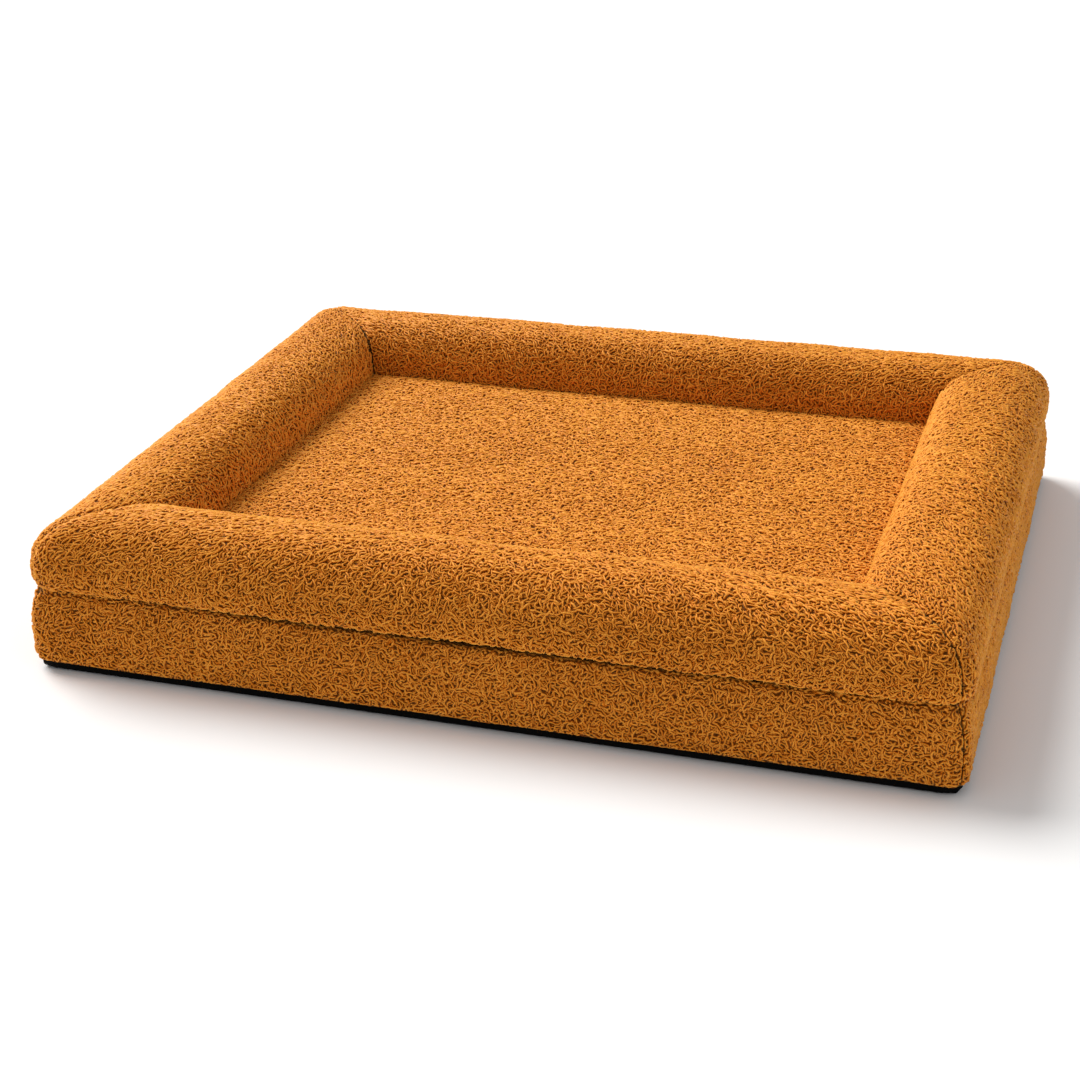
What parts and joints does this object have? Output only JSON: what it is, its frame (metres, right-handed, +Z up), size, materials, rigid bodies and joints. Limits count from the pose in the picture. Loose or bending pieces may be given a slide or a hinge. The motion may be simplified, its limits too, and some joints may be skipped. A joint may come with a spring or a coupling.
{
  "type": "pet cushion bed",
  "caption": "Rectangular boucle dog bed: foam mattress with a square ring bolster round a sunken sleeping panel, and a zip at the rear.",
  "frame": {"origin": "on the floor under the middle of the bed", "axes": "+X along the long side, -Y the front, +Y the rear with the zip, +Z up"},
  "size_m": [0.9, 0.73, 0.15],
  "materials": {
    "boucle": "looped boucle",
    "base_cloth": "non-slip dotted cloth",
    "lining": "plain lining",
    "foam": "open-cell foam",
    "zip_tape": "woven tape",
    "zip_coil": "nylon coil",
    "zip_metal": "black enamel"
  },
  "bodies": {
    "bed": {"base_panel": "base_cloth", "boxing_front": "boucle", "boxing_right": "boucle", "boxing_rear": "boucle", "boxing_left": "boucle", "divider_cloth": "lining", "sleeping_panel": "boucle", "foam_liner": "lining", "support_foam": "foam", "comfort_foam": "foam", "zip_tape_upper": "zip_tape", "zip_tape_lower": "zip_tape", "zip_coil_upper": "zip_coil", "zip_coil_lower": "zip_coil", "zip_end_stops": "zip_metal", "bolster_cover_front": "boucle", "bolster_core_front": "foam", "bolster_cover_right": "boucle", "bolster_core_right": "foam", "bolster_cover_rear": "boucle", "bolster_core_rear": "foam", "bolster_cover_left": "boucle", "bolster_core_left": "foam"},
    "zip_slider_body": {"zip_slider": "zip_metal"},
    "zip_pull_body": {"zip_pull": "zip_metal"}
  },
  "joints": [
    {"name": "zip_slide", "type": "slide", "parent": "bed", "child": "zip_slider_body", "axis": [-1, 0, 0], "range_m": [0, 0.716]},
    {"name": "zip_pull_hinge", "type": "hinge", "parent": "zip_slider_body", "child": "zip_pull_body", "pos_m": [0.358, 0.36235, 0.04], "axis": [0, 0, -1], "range_deg": [0, 180]}
  ]
}
